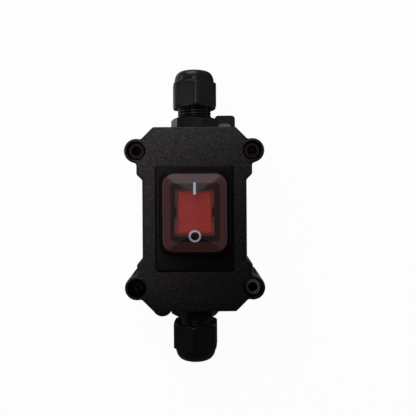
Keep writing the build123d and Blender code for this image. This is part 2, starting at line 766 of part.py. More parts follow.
for name, direction, body_corner, nut_gap, nut_corner in glands:
    wall_centre = (0, direction * end_y, gland_z)
    gland_axis = Axis(wall_centre, (0, direction, 0))
    # Lengths along the gland are the y values of this plane, radii its x values
    section = Plane(origin=wall_centre, x_dir=(1, 0, 0), z_dir=(0, 0, direction))
    # Across the gland, x points to the front of the box
    across = Plane(origin=wall_centre, x_dir=(0, 0, 1), z_dir=(0, direction, 0))

    # Gland body: threaded tail, hexagon, neck and slotted clamping claws
    with BuildPart() as gland_body:
        with BuildSketch(across.offset(hex_start)):
            RegularPolygon(hex_flats / 2, 6, major_radius=False, rotation=body_corner)
        extrude(amount=hex_height)
        with BuildSketch(section):
            with BuildLine():
                Polyline(
                    (0, hex_start),
                    (hex_radius, hex_start),
                    (hex_radius, hex_end - hex_chamfer),
                    (hex_flats / 2 - hex_chamfer, hex_end),
                    (0, hex_end),
                    close=True,
                )
            make_face()
        revolve(axis=gland_axis, mode=Mode.INTERSECT)
        with BuildSketch(section):
            with BuildLine():
                Polyline(
                    (0, -tail_length),
                    (thread_radius, -tail_length),
                    (thread_radius, hex_start),
                    (neck_radius, hex_start),
                    (neck_radius, neck_end),
                    (claw_radius, neck_end),
                    (claw_radius, claw_end),
                    (0, claw_end),
                    close=True,
                )
            make_face()
        revolve(axis=gland_axis)
        with BuildSketch(across.offset(neck_end)):
            with PolarLocations(claw_radius, claw_count):
                Rectangle(claw_radius, claw_slot)
        extrude(amount=claw_length, mode=Mode.SUBTRACT)
        with BuildSketch(across.offset(-tail_length)):
            Circle(gland_bore_radius)
        extrude(amount=tail_length + claw_end, mode=Mode.SUBTRACT)
    gland_body.part.label = f"{name}_gland_body"
    export_step(gland_body.part, f"parts/{name}_gland_body.step")

    # Sealing washer between the hexagon and the end wall
    with BuildPart() as gland_washer:
        with BuildSketch(across):
            Circle(hex_flats / 2 - washer_margin)
            Circle(bore_radius, mode=Mode.SUBTRACT)
        extrude(amount=washer_thickness)
    gland_washer.part.label = f"{name}_gland_washer"
    export_step(gland_washer.part, f"parts/{name}_gland_washer.step")

    # Lock nut against the inside of the end wall, with a flat towards the floor
    with BuildPart() as lock_nut:
        with BuildSketch(across.offset(-wall)):
            RegularPolygon(hex_flats / 2, 6, major_radius=False, rotation=30)
            Circle(bore_radius, mode=Mode.SUBTRACT)
        extrude(amount=-lock_nut_thickness)
    lock_nut.part.label = f"{name}_lock_nut"
    export_step(lock_nut.part, f"parts/{name}_lock_nut.step")

    # Rubber seal inside the claws, with a lip over their ends and a lead-in for the cable
    with BuildPart() as gland_seal:
        seal_start = neck_end - seal_depth
        seal_end = claw_end + seal_lip_length
        with BuildSketch(section):
            with BuildLine():
                Polyline(
                    (cable_radius, seal_start),
                    (seal_radius, seal_start),
                    (seal_radius, claw_end),
                    (seal_lip_radius, claw_end),
                    (seal_lip_radius - seal_lip_length / 2, seal_end),
                    (cable_radius + seal_lead_in, seal_end),
                    (cable_radius, seal_end - seal_lead_in),
                    close=True,
                )
            make_face()
        revolve(axis=gland_axis)
    gland_seal.part.label = f"{name}_gland_seal"
    export_step(gland_seal.part, f"parts/{name}_gland_seal.step")

    # Dome nut: hexagon cut by a turned profile, hollowed for neck, claws and seal
    with BuildPart() as dome_nut:
        nut_start = hex_end + nut_gap
        nut_end = nut_start + nut_length
        dome_start = nut_start + nut_hex_length
        with BuildSketch(across.offset(nut_start)):
            RegularPolygon(hex_flats / 2, 6, major_radius=False, rotation=nut_corner)
        extrude(amount=nut_length)
        with BuildSketch(section):
            with BuildLine():
                Polyline(
                    (nut_dome_radius, dome_start),
                    (hex_flats / 2, dome_start),
                    (hex_radius, dome_start - nut_shoulder),
                    (hex_radius, nut_start + nut_end_chamfer),
                    (hex_radius - nut_end_chamfer, nut_start),
                    (0, nut_start),
                    (0, nut_end),
                    (nut_tip_radius, nut_end),
                )
                TangentArc((nut_dome_radius, dome_start), (nut_tip_radius, nut_end), tangent=(0, 1))
            make_face()
        revolve(axis=gland_axis, mode=Mode.INTERSECT)
        with BuildSketch(section):
            with BuildLine():
                Polyline(
                    (0, nut_start),
                    (nut_bore_radius, nut_start),
                    (nut_bore_radius, nut_start + nut_thread_length),
                    (nut_cavity_radius, nut_start + nut_thread_length),
                    (nut_cavity_radius, nut_start + nut_cone_start),
                    (nut_mouth_radius, nut_start + nut_cone_start + nut_cone_length),
                    (nut_mouth_radius, nut_end),
                    (0, nut_end),
                    close=True,
                )
            make_face()
        revolve(axis=gland_axis, mode=Mode.SUBTRACT)
        fillet(dome_nut.faces().sort_by(gland_axis)[-1].edges().sort_by(SortBy.RADIUS)[0], nut_mouth_fillet)
    dome_nut.part.label = f"{name}_dome_nut"
    export_step(dome_nut.part, f"parts/{name}_dome_nut.step")
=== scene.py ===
"""Looks of the switch box: finishes, moulded detail, printed marks, light and camera.

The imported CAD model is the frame. Lengths below are millimetres in the frame of the part (back face at z = 0, +Z out
of the front, +Y towards the I side of the switch) and are turned into metres when a mesh is made.
"""

import json
import logging
from dataclasses import dataclass, field
from enum import Enum
from functools import cache
from math import cos, pi, radians, sin

import bmesh
import bpy
import numpy as np
from mathutils import Euler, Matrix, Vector

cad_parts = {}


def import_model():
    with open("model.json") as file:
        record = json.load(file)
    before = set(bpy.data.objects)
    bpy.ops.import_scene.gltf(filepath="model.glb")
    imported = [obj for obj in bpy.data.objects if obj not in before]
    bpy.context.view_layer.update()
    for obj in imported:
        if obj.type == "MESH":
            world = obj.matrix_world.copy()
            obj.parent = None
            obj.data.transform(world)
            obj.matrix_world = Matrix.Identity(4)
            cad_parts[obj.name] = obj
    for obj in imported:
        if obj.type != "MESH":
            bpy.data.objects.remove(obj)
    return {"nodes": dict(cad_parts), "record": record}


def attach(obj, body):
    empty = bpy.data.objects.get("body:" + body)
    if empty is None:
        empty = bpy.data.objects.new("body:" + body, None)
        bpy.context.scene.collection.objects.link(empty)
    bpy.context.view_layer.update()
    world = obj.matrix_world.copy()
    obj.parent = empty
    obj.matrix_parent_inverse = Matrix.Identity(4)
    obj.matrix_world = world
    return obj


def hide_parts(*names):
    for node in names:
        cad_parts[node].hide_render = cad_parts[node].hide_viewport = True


MM = 0.001
MERGE_DISTANCE = 2e-6  # metres within which points are one
FLAT_ANGLE = 0.4  # degrees within which triangles are one flat face
CREASE_ANGLE = 38.0  # degrees past which an edge of a moulding is softened
Colour = tuple[float, float, float]
Span = tuple[float, float]
log_of_pieces = logging.getLogger("switch_box")


# ---------------------------------------------------------------------------------------------------------------
# Shader maths
# ---------------------------------------------------------------------------------------------------------------


@dataclass(frozen=True)
class Value:
    """An output socket whose arithmetic adds Math nodes to its tree."""

    paint: "Paint"
    socket: bpy.types.NodeSocket

    def out(self, name: str | int) -> "Value":
        """Another output of the same node."""
        return Value(self.paint, self.socket.node.outputs[name])

    def math(self, operation: str, first: "Value | float", second: "Value | float" = 0.0) -> "Value":
        """A Math node on two values."""
        return self.paint.node("ShaderNodeMath", {"operation": operation}, {0: first, 1: second})

    def __add__(self, other: "Value | float") -> "Value":
        """self + other"""
        return self.math("ADD", self, other)

    __radd__ = __add__

    def __sub__(self, other: "Value | float") -> "Value":
        """self - other"""
        return self.math("SUBTRACT", self, other)

    def __rsub__(self, other: "Value | float") -> "Value":
        """other - self"""
        return self.math("SUBTRACT", other, self)

    def __mul__(self, other: "Value | float") -> "Value":
        """self * other"""
        return self.math("MULTIPLY", self, other)

    __rmul__ = __mul__

    def __truediv__(self, other: "Value | float") -> "Value":
        """self / other"""
        return self.math("DIVIDE", self, other)

    def __rtruediv__(self, other: "Value | float") -> "Value":
        """other / self"""
        return self.math("DIVIDE", other, self)

    def __pow__(self, other: "Value | float") -> "Value":
        """self to the power other"""
        return self.math("POWER", self, other)

    def __abs__(self) -> "Value":
        """Size of self without its sign."""
        return self.math("ABSOLUTE", self)

    def sine(self) -> "Value":
        """Sine of self in radians."""
        return self.math("SINE", self)

    def most(self, other: "Value | float") -> "Value":
        """The larger of the two."""
        return self.math("MAXIMUM", self, other)

    def ramp(self, start: float, end: float) -> "Value":
        """Smooth step from 0 at start to 1 at end, which may be the smaller of the two.

        Args:
            start: Value at which the step begins.
            end: Value at which it is complete.

        Returns:
            A value from 0 to 1.
        """
        return self.paint.node(
            "ShaderNodeMapRange",
            {"interpolation_type": "SMOOTHSTEP", "clamp": True},
            {"Value": self, "From Min": start, "From Max": end, "To Min": 0.0, "To Max": 1.0},
        )


class Paint:
    """Node tree of one material, filled through node()."""

    def __init__(self, name: str) -> None:
        """Starts an empty material.

        Args:
            name: Name of the material.
        """
        self.material = bpy.data.materials.new(name)
        self.material.use_nodes = True
        self.tree = self.material.node_tree
        self.tree.nodes.clear()

    def node(
        self,
        kind: str,
        settings: dict[str, object] | None = None,
        inputs: dict[str | int, object] | None = None,
        output: str | int = 0,
    ) -> Value:
        """Makes any node.

        Args:
            kind: The node's type, such as "ShaderNodeMath".
            settings: Properties that are set before the sockets, such as a Math node's operation.
            inputs: Numbers, colours or Values for its sockets, by name or number.
            output: The output that is returned.

        Returns:
            That output, wrapped for arithmetic.
        """
        made = self.tree.nodes.new(kind)
        for key, setting in (settings or {}).items():
            setattr(made, key, setting)
        for key, given in (inputs or {}).items():
            if isinstance(given, Value):
                self.tree.links.new(given.socket, made.inputs[key])
            else:
                made.inputs[key].default_value = given
        return Value(self, made.outputs[output] if len(made.outputs) else None)

    def place(self) -> Value:
        """Object coordinates: the part's own frame, in metres."""
        return self.node("ShaderNodeTexCoord", {}, {}, "Object")

    def axes(self, place: Value) -> tuple[Value, Value, Value]:
        """Splits a place into its axes.

        Args:
            place: Object coordinates, in metres.

        Returns:
            The x, y and z in millimetres.
        """
        scaled = self.node("ShaderNodeVectorMath", {"operation": "SCALE"}, {0: place, "Scale": 1 / MM})
        split = self.node("ShaderNodeSeparateXYZ", {}, {0: scaled})
        return split, split.out(1), split.out(2)

    def noise(self, place: Value, size: float, detail: float = 2.0, roughness: float = 0.5) -> Value:
        """Noise from 0 to 1 with blotches of about size millimetres.

        Args:
            place: Where it is read.
            size: Blotch size in millimetres.
            detail: Number of finer layers.
            roughness: Strength of the finer layers.

        Returns:
            The noise value.
        """
        return self.node(
            "ShaderNodeTexNoise",
            {"noise_dimensions": "3D"},
            {"Vector": place, "Scale": 1 / (size * MM), "Detail": detail, "Roughness": roughness},
        )

    def blend(self, factor: "Value | float", first: "Value | Colour", second: "Value | Colour") -> Value:
        """Mixes two colours.

        Args:
            factor: Share of the second colour, from 0 to 1.
            first: Colour at factor 0.
            second: Colour at factor 1.

        Returns:
            The mixed colour.
        """
        one = first if isinstance(first, Value) else (*first, 1.0)
        two = second if isinstance(second, Value) else (*second, 1.0)
        return self.node("ShaderNodeMix", {"data_type": "RGBA"}, {0: factor, 6: one, 7: two}, 2)

    def bump(self, height: Value, depth: float) -> Value:
        """Normal of a relief: height 0 to 1 over depth millimetres."""
        return self.node(
            "ShaderNodeBump", {}, {"Height": height, "Distance": depth * MM, "Strength": 1.0}, "Normal"
        )

    def principled(self, inputs: dict[str, object]) -> Value:
        """A Principled BSDF with these sockets set."""
        return self.node("ShaderNodeBsdfPrincipled", {}, inputs)

    def finish(self, shader: Value) -> bpy.types.Material:
        """Links the shader to the output and returns the material."""
        self.node("ShaderNodeOutputMaterial", {}, {"Surface": shader})
        return self.material


@dataclass(frozen=True)
class Patch:
    """A rounded rectangle seen from the front, from which a finish can change."""

    centre: tuple[float, float]
    size: tuple[float, float]
    corner: float
    edge: float = 0.3

    def mask(self, x: Value, y: Value) -> Value:
        """1 inside the patch and 0 outside it.

        The distance to a rounded rectangle is the length of the offset beyond its inner rectangle, less the corner
        radius.

        Args:
            x: Place along the front, in millimetres.
            y: Place along the front, in millimetres.

        Returns:
            The mask value.
        """
        over_x = (abs(x - self.centre[0]) - (self.size[0] / 2 - self.corner)).most(0.0)
        over_y = (abs(y - self.centre[1]) - (self.size[1] / 2 - self.corner)).most(0.0)
        distance = (over_x**2.0 + over_y**2.0) ** 0.5 - self.corner
        return distance.ramp(self.edge / 2, -self.edge / 2)


# ---------------------------------------------------------------------------------------------------------------
# Finishes
# ---------------------------------------------------------------------------------------------------------------


@dataclass(frozen=True)
class MouldedPlastic:
    """Dark moulded plastic: mould grain whose flat tops shine, warm and cool mottling and uneven sheen.

    Sizes and depths are millimetres. A band holds the two noise values between which a change comes in.
    """

    name: str
    warm: Colour
    cool: Colour
    roughness: float
    gloss: float = 0.5
    grain_size: float = 0.7
    grain_depth: float = 0.02
    mottle_size: float = 1.0
    shine: float = 0.0
    shine_ior: float = 1.8
    smooth_patch: Patch | None = None
    smooth_colour: Colour = (0.0022, 0.002, 0.002)
    smooth_roughness: float = 0.26
    smooth_level: float = 38.2
    smooth_step: float = 0.2
    smooth_grain: float = 0.15
    smooth_shine: float = 0.08
    mottle_band: Span = (0.36, 0.66)
    cloud_size: float = 22.0
    cloud_band: Span = (0.35, 0.7)
    cloud_share: float = 0.25
    sheen_spread: float = 0.08
    top_band: Span = (0.42, 0.68)
    valley_shine: float = 0.38

    def material(self) -> bpy.types.Material:
        """Builds the finish; the shining grain tops are a patchy coat.

        Returns:
            The material.
        """
        paint = Paint(self.name)
        place = paint.place()
        grain = paint.noise(place, self.grain_size, detail=1.0, roughness=0.5)
        fine = paint.noise(place, self.mottle_size, detail=2.0, roughness=0.7)
        cloud = paint.noise(place, self.cloud_size, detail=2.0)
        colour = paint.blend(fine.ramp(*self.mottle_band), self.warm, self.cool)
        colour = paint.blend(cloud.ramp(*self.cloud_band) * self.cloud_share, colour, self.cool)
        rough = self.roughness + (cloud - 0.5) * self.sheen_spread
        height = grain
        tops = grain.ramp(*self.top_band) * (1.0 - self.valley_shine) + self.valley_shine
        tops = tops * self.shine
        if self.smooth_patch is not None:
            x, y, z = paint.axes(place)
            raised = z.ramp(self.smooth_level - self.smooth_step, self.smooth_level + self.smooth_step)
            smooth = self.smooth_patch.mask(x, y) * raised
            colour = paint.blend(smooth, colour, self.smooth_colour)
            rough = rough + smooth * (self.smooth_roughness - self.roughness)
            height = height * (1.0 - smooth * (1.0 - self.smooth_grain))
            tops = tops * (1.0 - smooth * (1.0 - self.smooth_shine))
        inputs = {
            "Base Color": colour,
            "Roughness": rough,
            "Normal": paint.bump(height, self.grain_depth),
            "Specular IOR Level": self.gloss,
        }
        if self.shine > 0:
            inputs |= {"Coat Weight": tops, "Coat Roughness": self.roughness, "Coat IOR": self.shine_ior}
        return paint.finish(paint.principled(inputs))


@dataclass(frozen=True)
class Rubber:
    """Dull black rubber with a dusty bloom."""

    name: str = "seal_rubber"
    colour: Colour = (0.012, 0.012, 0.013)
    bloom: Colour = (0.03, 0.03, 0.031)
    bloom_size: float = 2.5
    bloom_band: Span = (0.45, 0.75)
    roughness: float = 0.62
    roughness_spread: float = 0.2
    pore_size: float = 0.4
    pore_depth: float = 0.01

    def material(self) -> bpy.types.Material:
        """Builds the finish.

        Returns:
            The material.
        """
        paint = Paint(self.name)
        place = paint.place()
        dust = paint.noise(place, self.bloom_size, detail=4.0, roughness=0.65)
        pores = paint.noise(place, self.pore_size, detail=2.0)
        return paint.finish(
            paint.principled(
                {
                    "Base Color": paint.blend(dust.ramp(*self.bloom_band), self.colour, self.bloom),
                    "Roughness": self.roughness + dust * self.roughness_spread,
                    "Normal": paint.bump(pores, self.pore_depth),
                }
            )
        )


@dataclass(frozen=True)
class Metal:
    """Bare or plated metal with tool marks across its height, a little tarnish and painted shade in screw sockets.

    One head may be painted lighter as a highlight, with less rust in its socket, and one darker, with more rust.
    """

    name: str
    colour: Colour
    tarnish: Colour
    roughness: float
    tarnish_size: float = 1.6
    socket_place: Span | None = None
    socket_radius: float = 2.5
    socket_shade: Colour = (0.004, 0.003, 0.003)
    rust: Colour = (0.06, 0.024, 0.014)
    head_highlight: Patch | None = None
    head_highlight_colour: Colour = (0.34, 0.285, 0.215)
    darker_head: Patch | None = None
    darker_head_colour: Colour = (0.007, 0.006, 0.0065)
    rust_shift: float = 0.09
    rust_band: Span = (0.54, 0.66)
    socket_blur: float = 0.15
    tarnish_band: Span = (0.42, 0.7)
    tarnish_middle: float = 0.4
    roughness_spread: float = 0.2
    mark_size: float = 0.8
    mark_stretch: float = 12.0
    mark_depth: float = 0.006

    def material(self) -> bpy.types.Material:
        """Builds the finish; sockets lie at the same place in each quarter of the front.

        Returns:
            The material.
        """
        paint = Paint(self.name)
        place = paint.place()
        spots = paint.noise(place, self.tarnish_size, detail=3.0, roughness=0.6)
        streaks = paint.node(
            "ShaderNodeMapping", {"vector_type": "POINT"}, {"Vector": place, "Scale": (1.0, 1.0, self.mark_stretch)}
        )
        marks = paint.noise(streaks, self.mark_size, detail=2.0)
        colour = paint.blend(spots.ramp(*self.tarnish_band), self.colour, self.tarnish)
        if self.socket_place is not None:
            x, y, _ = paint.axes(place)
            off_x, off_y = abs(x) - self.socket_place[0], abs(y) - self.socket_place[1]
            away = (off_x**2.0 + off_y**2.0) ** 0.5
            rusty = spots
            # painted highlight: this head is made lighter and beige to stand in for the light it reflects; its socket
            # rusts less
            if self.head_highlight is not None:
                head_highlight = self.head_highlight.mask(x, y)
                colour = paint.blend(head_highlight, colour, self.head_highlight_colour)
                rusty = rusty - head_highlight * self.rust_shift
            # the lower left head is made darker, and its socket rusts more
            if self.darker_head is not None:
                darker_head = self.darker_head.mask(x, y)
                colour = paint.blend(darker_head, colour, self.darker_head_colour)
                rusty = rusty + darker_head * self.rust_shift
            # painted shade: inside the socket radius the colour turns near black, with patches of rust
            inside = paint.blend(rusty.ramp(*self.rust_band), self.socket_shade, self.rust)
            hole = away.ramp(self.socket_radius + self.socket_blur, self.socket_radius - self.socket_blur)
            colour = paint.blend(hole, colour, inside)
        return paint.finish(
            paint.principled(
                {
                    "Base Color": colour,
                    "Metallic": 1.0,
                    "Roughness": self.roughness + (spots - self.tarnish_middle) * self.roughness_spread,
                    "Normal": paint.bump(marks, self.mark_depth),
                }
            )
        )


@dataclass(frozen=True)
class ClearSkin:
    """Soft clear plastic: see-through over the rocker, milky red brown where it is thick round the ring; painted shade
    at the lower end.
    """

    name: str
    window: Patch
    rim: Colour
    rim_dark: Colour
    rim_lower_shade: Colour
    eaves: Patch
    runs: Span
    haze: Colour = (0.14, 0.088, 0.084)
    haze_share: float = 0.08
    gloss_ior: float = 1.8
    end_haze: Colour = (0.012, 0.008, 0.01)
    end_share: float = 0.5
    tint: Colour = (0.98, 0.96, 0.96)
    haze_roughness: float = 0.2
    end_roughness: float = 0.12
    end_ior: float = 1.6
    ripple_size: float = 6.0
    ripple_depth: float = 0.03
    hip_blur: float = 0.02
    cloud_size: float = 1.1
    cloud_band: Span = (0.35, 0.68)
    rim_roughness: float = 0.14
    rim_spread: float = 0.08
    rim_gloss: float = 0.4

    def material(self) -> bpy.types.Material:
        """Builds the finish from a clear skin, a glossy haze on it and the thick rim, painted darker at its lower end
        as shade.

        The roof's two end slopes are where the run up from an end eave is shorter than that from a side eave. They
        are seen through more plastic, so that less of the rocker shows.

        Returns:
            The material.
        """
        paint = Paint(self.name)
        place = paint.place()
        x, y, _ = paint.axes(place)
        normal = paint.bump(paint.noise(place, self.ripple_size, detail=2.0), self.ripple_depth)
        clear = paint.node("ShaderNodeBsdfTransparent", {}, {"Color": (*self.tint, 1.0)})
        haze, deep = (
            paint.principled({"Base Color": (*colour, 1.0), "Roughness": roughness, "IOR": ior, "Normal": normal})
            for colour, roughness, ior in (
                (self.haze, self.haze_roughness, self.gloss_ior),
                (self.end_haze, self.end_roughness, self.end_ior),
            )
        )
        side = (self.eaves.size[0] / 2 - abs(x - self.eaves.centre[0])) / self.runs[0]
        end = (self.eaves.size[1] / 2 - abs(y - self.eaves.centre[1])) / self.runs[1]
        ends = (side - end).ramp(-self.hip_blur, self.hip_blur)
        # painted shade: the thick rim takes a darker colour on the lower end slope
        lower = ends * (y - self.eaves.centre[1]).ramp(0.5, -0.5)
        share = self.haze_share + ends * (self.end_share - self.haze_share)
        veil = paint.node("ShaderNodeMixShader", {}, {0: ends, 1: haze, 2: deep})
        skin = paint.node("ShaderNodeMixShader", {}, {0: share, 1: clear, 2: veil})
        cloud = paint.noise(place, self.cloud_size, detail=3.0, roughness=0.7)
        brown = paint.blend(cloud.ramp(*self.cloud_band), self.rim, self.rim_dark)
        thick = paint.principled(
            {
                "Base Color": paint.blend(lower, brown, self.rim_lower_shade),
                "Roughness": self.rim_roughness + cloud * self.rim_spread,
                "Specular IOR Level": self.rim_gloss,
                "Normal": normal,
            }
        )
        inside = self.window.mask(x, y)
        return paint.finish(paint.node("ShaderNodeMixShader", {}, {0: inside, 1: thick, 2: skin}))


@dataclass(frozen=True)
class RedLens:
    """Translucent red plastic, darker in its frame than in the ribbed window; shade is painted into the lattice of rib
    pits and the foot.
    """

    name: str
    window: Patch
    bright: Colour
    dark: Colour
    # painted shade at the frame's lower edge, below the window
    foot: Colour = (0.04, 0.007, 0.007)
    tabs: Patch = Patch((0.0, 3.9), (24.0, 10.4), 0.6, 0.5)
    tab_colour: Colour = (0.062, 0.021, 0.021)
    pitch: float = 1.0
    pit_shade_share: float = 0.6
    foot_shade_band: Span = (-5.8, -7.0)
    cloud_size: float = 5.0
    cloud_band: Span = (0.4, 0.8)
    cloud_share: float = 0.15
    fine_size: float = 1.0
    fine_band: Span = (0.42, 0.6)
    fine_share: float = 0.26
    fine_depth: float = 0.01
    roughness: float = 0.3
    roughness_spread: float = 0.15
    gloss: float = 0.2

    def material(self) -> bpy.types.Material:
        """Builds the finish.

        Painted shade in a pit is darkest where the ribs along and across are both low: (1 - |sin(pi x / pitch)|) times
        the same of y.

        Returns:
            The material.
        """
        paint = Paint(self.name)
        place = paint.place()
        x, y, _ = paint.axes(place)
        cloud = paint.noise(place, self.cloud_size, detail=3.0)
        fine = paint.noise(place, self.fine_size, detail=2.0, roughness=0.7)
        inside = self.window.mask(x, y)
        # painted shade: the frame turns darker towards its foot, below the window
        frame = paint.blend(y.ramp(*self.foot_shade_band), self.dark, self.foot)
        frame = paint.blend(self.tabs.mask(x, y), frame, self.tab_colour)
        colour = paint.blend(inside, frame, self.bright)
        # painted shade: the window darkens in the pits between the ribs
        pits = (1.0 - abs((x * (pi / self.pitch)).sine())) * (1.0 - abs((y * (pi / self.pitch)).sine()))
        uneven = cloud.ramp(*self.cloud_band) * self.cloud_share + fine.ramp(*self.fine_band) * self.fine_share
        colour = paint.blend(uneven, colour, self.dark)
        colour = paint.blend(pits * inside * self.pit_shade_share, colour, self.dark)
        return paint.finish(
            paint.principled(
                {
                    "Base Color": colour,
                    "Roughness": self.roughness + fine * self.roughness_spread,
                    "Specular IOR Level": self.gloss,
                    "Normal": paint.bump(fine, self.fine_depth),
                }
            )
        )


@dataclass(frozen=True)
class PlainCoat:
    """A coat of paint, ink, ceramic or glass colour with a slight unevenness."""

    name: str
    colour: Colour
    shade: Colour
    roughness: float
    spot_size: float = 0.9
    spot_band: Span = (0.4, 0.75)
    spot_depth: float = 0.008
    roughness_spread: float = 0.1

    def material(self) -> bpy.types.Material:
        """Builds the finish.

        Returns:
            The material.
        """
        paint = Paint(self.name)
        spots = paint.noise(paint.place(), self.spot_size, detail=3.0, roughness=0.6)
        return paint.finish(
            paint.principled(
                {
                    "Base Color": paint.blend(spots.ramp(*self.spot_band), self.colour, self.shade),
                    "Roughness": self.roughness + (spots - 0.5) * self.roughness_spread,
                    "Normal": paint.bump(spots, self.spot_depth),
                }
            )
        )


@dataclass(frozen=True)
class StudioPaper:
    """Pale paper of floor and backdrop, white to the camera with a trace of the shadow left in it.

    Mirrored in the object it is a wide pool of light that is brightest beside the box and at the upper left, and dim
    under the box and glands (near_share), beside the glands (the wings) and far away. A share is a strength, where 1
    is white.
    """

    name: str = "studio_paper"
    paper: Colour = (0.8, 0.8, 0.8)
    shadow_share: float = 0.035
    slot_shade: Patch = Patch((18.2, 53.2), (9.4, 6.4), 2.4, 0.8)
    slot_colour: Colour = (0.62, 0.53, 0.47)
    pool: Patch = Patch((0.0, 0.0), (320.0, 400.0), 130.0, 220.0)
    box_shade: Patch = Patch((0.0, 0.0), (92.0, 116.0), 14.0, 10.0)
    gland_shade: Patch = Patch((0.0, 0.0), (38.0, 186.0), 8.0, 8.0)
    beside: Patch = Patch((116.0, 0.0), (140.0, 94.0), 30.0, 22.0)
    left_pool: Patch = Patch((-70.0, 82.0), (112.0, 64.0), 10.0, 8.0)
    wings: Patch = Patch((91.0, 91.0), (150.0, 82.0), 20.0, 12.0)
    beside_share: float = 0.9
    left_share: float = 0.42
    pool_share: float = 0.3
    far_share: float = 0.18
    dark_share: float = 0.045
    near_share: float = 0.012
    slot_cover: float = 0.965
    pool_along: Span = (-110.0, 10.0)
    pool_end: float = 0.2
    pool_across: Span = (90.0, -30.0)
    pool_side: float = 0.5
    far_along: Span = (-600.0, 400.0)

    def material(self) -> bpy.types.Material:
        """Builds the finish; what lights the object is plain diffuse paper.

        Returns:
            The material.
        """
        paint = Paint(self.name)
        camera = paint.node("ShaderNodeLightPath", {}, {}, "Is Camera Ray")
        x, y, _ = paint.axes(paint.place())
        slot = self.slot_shade.mask(x, y)
        paper = paint.node("ShaderNodeBsdfDiffuse", {}, {"Color": paint.blend(slot, self.paper, self.slot_colour)})
        white = paint.node("ShaderNodeEmission", {}, {"Color": (1.0, 1.0, 1.0, 1.0), "Strength": 1.0})
        seen = camera.most(camera.out("Is Transmission Ray")) * (1.0 - self.shadow_share)
        seen = seen * (1.0 - slot * self.slot_cover)
        direct = paint.node("ShaderNodeMixShader", {}, {0: seen, 1: paper, 2: white})
        along = y.ramp(*self.pool_along) * (1.0 - self.pool_end) + self.pool_end
        across = x.ramp(*self.pool_across) * (1.0 - self.pool_side) + self.pool_side
        mirrored = paint.blend(y.ramp(*self.far_along), (self.dark_share,) * 3, (self.far_share,) * 3)
        for mask, share in (
            (self.pool.mask(x, y) * along * across, self.pool_share),
            (self.wings.mask(abs(x), abs(y)), self.dark_share),
            (self.beside.mask(abs(x), y), self.beside_share),
            (self.box_shade.mask(x, y).most(self.gland_shade.mask(x, y)), self.near_share),
            (self.left_pool.mask(x, y), self.left_share),
        ):
            mirrored = paint.blend(mask, mirrored, (share,) * 3)
        glow = paint.node("ShaderNodeEmission", {}, {"Color": mirrored, "Strength": 1.0})
        return paint.finish(
            paint.node("ShaderNodeMixShader", {}, {0: camera.out("Is Glossy Ray"), 1: direct, 2: glow})
        )


Finish = MouldedPlastic | Rubber | Metal | ClearSkin | RedLens | PlainCoat | StudioPaper


@cache
def material_of(finish: Finish) -> bpy.types.Material:
    """The material of a finish, built once."""
    return finish.material()


# ---------------------------------------------------------------------------------------------------------------
# Meshes
# ---------------------------------------------------------------------------------------------------------------


class Close(Enum):
    """Which ways a grid of points closes on itself."""

    NONE = (False, False)
    ROUND = (False, True)
    BOTH = (True, True)


def sheet(name: str, points: np.ndarray, close: Close, smooth_angle: float = 35.0) -> bpy.types.Object:
    """Makes a mesh object from a grid of points.

    Cell (i, j) is the quad of points (i, j), (i + 1, j), (i + 1, j + 1) and (i, j + 1), with indices wrapping where
    the grid is closed. Doubled points are merged, so that poles and seams are closed, and faces turned outwards.

    Args:
        name: Name of the object.
        points: Array of shape (rows, columns, 3), in millimetres.
        close: Whether rows and columns wrap round.
        smooth_angle: Edges sharper than this stay sharp, in degrees.

    Returns:
        The object, at the origin.
    """
    rows, columns = points.shape[:2]
    wrap_rows, wrap_columns = close.value
    i = np.arange(rows if wrap_rows else rows - 1)[:, None]
    j = np.arange(columns if wrap_columns else columns - 1)[None, :]
    down, right = (i + 1) % rows, (j + 1) % columns
    quads = np.stack(
        np.broadcast_arrays(i * columns + j, down * columns + j, down * columns + right, i * columns + right), axis=-1
    ).reshape(-1, 4)
    mesh = bpy.data.meshes.new(name)
    mesh.from_pydata((points.reshape(-1, 3) * MM).tolist(), [], quads.tolist())
    tidy(mesh, smooth_angle, True)
    made = bpy.data.objects.new(name, mesh)
    bpy.context.scene.collection.objects.link(made)
    return made


def tidy(mesh: bpy.types.Mesh, smooth_angle: float, turn_out: bool, flatten: bool = False) -> None:
    """Merges doubled points and shades a mesh smooth between its sharp edges.

    Args:
        mesh: The mesh.
        smooth_angle: Edges sharper than this stay sharp, in degrees.
        turn_out: Whether faces are turned outwards.
        flatten: Whether triangles of one flat face are joined.
    """
    if "custom_normal" in mesh.attributes:
        mesh.attributes.remove(mesh.attributes["custom_normal"])
    work = bmesh.new()
    work.from_mesh(mesh)
    bmesh.ops.remove_doubles(work, verts=work.verts, dist=MERGE_DISTANCE)
    if flatten:
        bmesh.ops.dissolve_limit(work, angle_limit=radians(FLAT_ANGLE), verts=work.verts, edges=work.edges)
    if turn_out:
        bmesh.ops.recalc_face_normals(work, faces=work.faces)
    work.to_mesh(mesh)
    work.free()
    mesh.shade_smooth()
    mesh.set_sharp_from_angle(angle=radians(smooth_angle))


